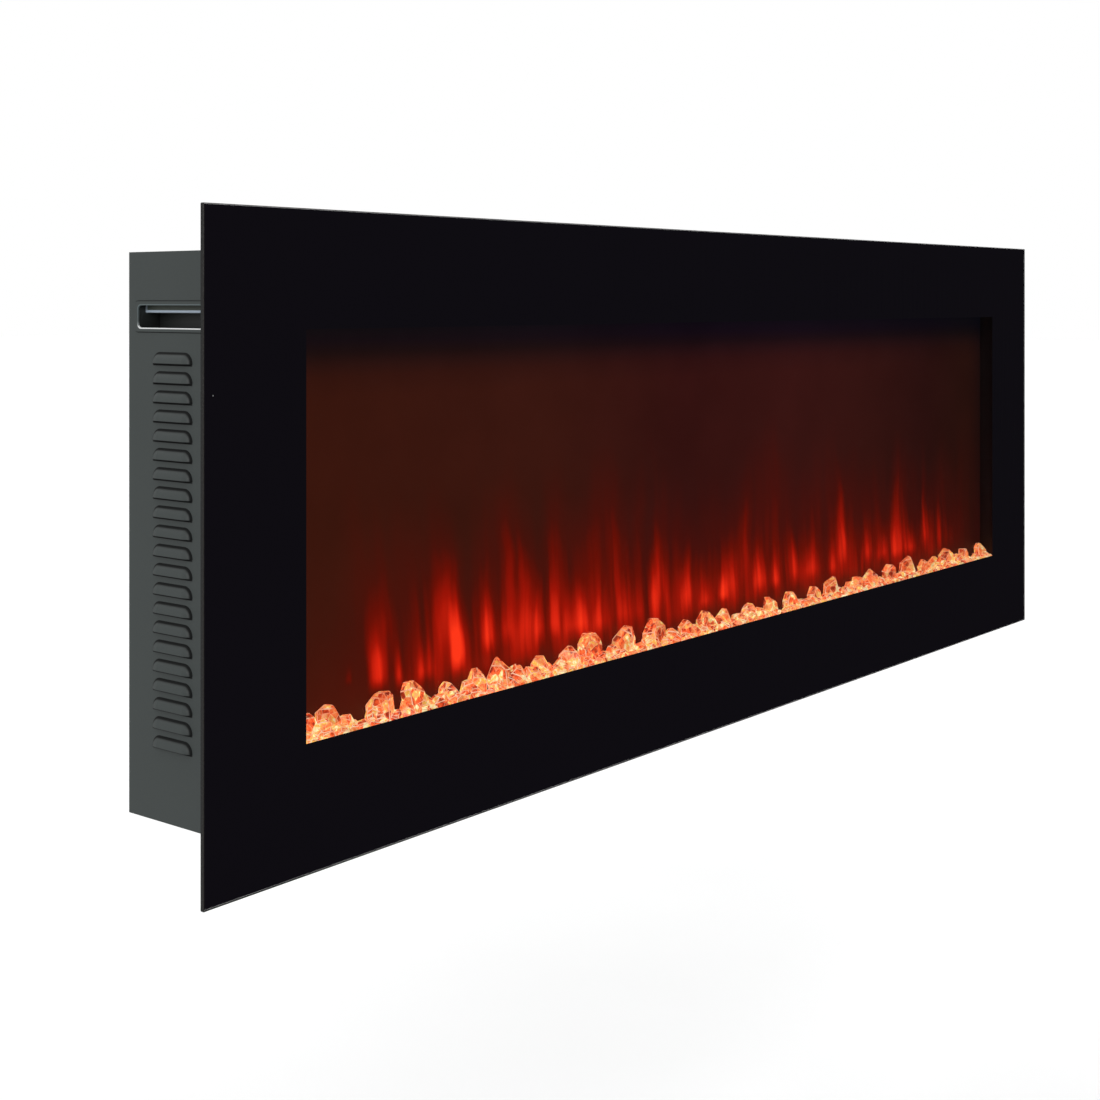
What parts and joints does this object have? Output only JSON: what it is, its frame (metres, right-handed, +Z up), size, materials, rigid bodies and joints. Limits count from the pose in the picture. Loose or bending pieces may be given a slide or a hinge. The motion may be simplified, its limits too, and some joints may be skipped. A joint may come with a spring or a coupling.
{
  "type": "electric fireplace",
  "caption": "Long wall-hung electric fireplace: black-bordered glass front, lit flame screen and crystal bed, louvred steel casing.",
  "frame": {"origin": "centre of the wall bracket's four screw holes, on the wall plane", "axes": "+X to the right seen from the front and along the length, +Y into the wall, +Z up"},
  "size_m": [1.524, 0.163, 0.54],
  "materials": {
    "aluminium": "plain",
    "black_plastic": "fine moulded texture",
    "black_print": "fired black print seen through glass",
    "black_steel": "matt black heat-proof paint",
    "bright_steel": "polished",
    "circuit_board": "solder resist",
    "clear_glass": "clear tempered glass, polished edges",
    "copper": "enamelled winding",
    "crystal": "clear crystal lit from below",
    "dark_lens": "infrared-clear dark filter",
    "diffuser": "frosted translucent",
    "mirror_foil": "bright reflector",
    "painted_steel": "satin powder coat, dark grey",
    "red_plastic": "translucent red",
    "rubber": "matt",
    "screen": "smoked translucent sheet with a satin face",
    "white_plastic": "natural nylon",
    "zinc_steel": "zinc plated"
  },
  "bodies": {
    "wall_bracket": {"wall_bracket": "zinc_steel"},
    "casing": {"bearing_brackets": "zinc_steel", "blower_bush": "white_plastic", "blower_housing": "zinc_steel", "blower_motor": "copper", "board_components": "black_plastic", "board_standoffs": "white_plastic", "bottom_panel": "painted_steel", "casing_screws": "zinc_steel", "control_bezel": "black_plastic", "control_board": "circuit_board", "control_posts": "white_plastic", "crystals": "crystal", "ember_diffuser": "diffuser", "ember_led_board": "circuit_board", "ember_tray": "black_steel", "firebox_side_liners": "black_steel", "firebox_top_liner": "black_steel", "flame_cutout_plate": "aluminium", "flame_led_board": "circuit_board", "flame_screen": "screen", "glass_hook_brackets": "zinc_steel", "hand_hold_left": "black_steel", "hand_hold_right": "black_steel", "heater_duct": "zinc_steel", "heating_element": "aluminium", "mains_gland": "black_plastic", "motor_bracket": "zinc_steel", "outlet_grille": "black_steel", "power_board": "circuit_board", "rear_panel": "painted_steel", "rocker_housing": "black_plastic", "screen_clips": "zinc_steel", "side_panel_left": "painted_steel", "side_panel_right": "painted_steel", "spindle_bushes": "white_plastic", "spindle_motor": "zinc_steel", "tactile_switches": "black_plastic", "terminal_block": "white_plastic", "thermal_cutout": "black_plastic", "top_panel": "painted_steel", "wall_bumpers": "rubber", "wiring": "white_plastic"},
    "glass_front": {"front_glass": "clear_glass", "glass_print": "black_print", "ir_window": "dark_lens", "ir_receiver": "black_plastic", "ir_lead": "white_plastic", "glass_hangers": "zinc_steel", "glass_pads": "rubber"},
    "flame_spindle": {"spindle_rod": "bright_steel", "spindle_reflectors": "mirror_foil", "motor_shaft": "bright_steel", "drive_coupling": "rubber"},
    "blower_rotor": {"blower_impeller": "aluminium", "blower_shaft": "bright_steel"},
    "power_rocker": {"power_rocker": "red_plastic"},
    "heat_button": {"heat_button": "black_plastic"},
    "flame_button": {"flame_button": "black_plastic"},
    "timer_button": {"timer_button": "black_plastic"}
  },
  "joints": [
    {"name": "casing_unhook", "type": "slide", "parent": "wall_bracket", "child": "casing", "axis": [0, 0, 1], "range_m": [0, 0.012]},
    {"name": "glass_lift", "type": "slide", "parent": "casing", "child": "glass_front", "axis": [0, 0, 1], "range_m": [0, 0.56]},
    {"name": "spindle_spin", "type": "hinge", "parent": "casing", "child": "flame_spindle", "pos_m": [0, -0.081, -0.282], "axis": [1, 0, 0], "continuous": true},
    {"name": "blower_spin", "type": "hinge", "parent": "casing", "child": "blower_rotor", "pos_m": [0, -0.039, -0.308], "axis": [1, 0, 0], "continuous": true},
    {"name": "rocker_tilt", "type": "hinge", "parent": "casing", "child": "power_rocker", "pos_m": [0.7105, -0.033, -0.336], "axis": [0, 1, 0], "range_deg": [0, 18]},
    {"name": "heat_button_press", "type": "slide", "parent": "casing", "child": "heat_button", "axis": [-1, 0, 0], "range_m": [0, 0.001], "stiffness_N_per_m": 200, "springref_m": -0.001},
    {"name": "flame_button_press", "type": "slide", "parent": "casing", "child": "flame_button", "axis": [-1, 0, 0], "range_m": [0, 0.001], "stiffness_N_per_m": 200, "springref_m": -0.001},
    {"name": "timer_button_press", "type": "slide", "parent": "casing", "child": "timer_button", "axis": [-1, 0, 0], "range_m": [0, 0.001], "stiffness_N_per_m": 200, "springref_m": -0.001}
  ]
}
